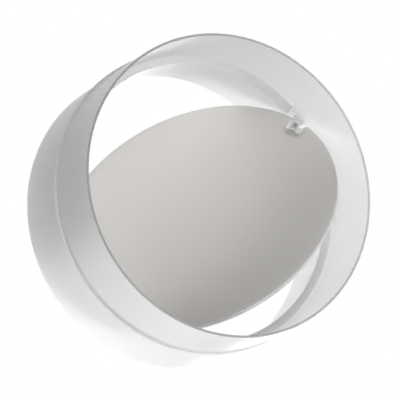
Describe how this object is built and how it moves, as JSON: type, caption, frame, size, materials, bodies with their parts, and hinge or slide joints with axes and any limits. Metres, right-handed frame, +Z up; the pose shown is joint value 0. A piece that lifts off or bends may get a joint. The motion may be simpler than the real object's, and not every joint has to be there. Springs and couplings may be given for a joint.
{
  "type": "duct non-return valve",
  "caption": "Short white ring that joins two round ducts, with a round flap on an off-centre hinge that lets air through one way and shuts against half-ring seats.",
  "frame": {"origin": "centre of the inlet end, on the duct axis", "axes": "+Y along the duct in the direction of free flow, +Z up, +X along the hinge line, to the right seen from the inlet"},
  "size_m": [0.126, 0.0935, 0.126],
  "materials": {
    "ring_plastic": "white moulded plastic, smooth satin",
    "flap_plastic": "light grey moulded plastic, satin",
    "clip_plastic": "white moulded plastic"
  },
  "bodies": {
    "ring": {"housing": "ring_plastic"},
    "flap": {"flap": "flap_plastic", "hinge_clip_right": "clip_plastic", "hinge_clip_left": "clip_plastic"}
  },
  "joints": [
    {"name": "flap_swing", "type": "hinge", "parent": "ring", "child": "flap", "pos_m": [0, 0.031, 0.0141], "axis": [1, 0, 0], "range_deg": [-51, 20]}
  ]
}
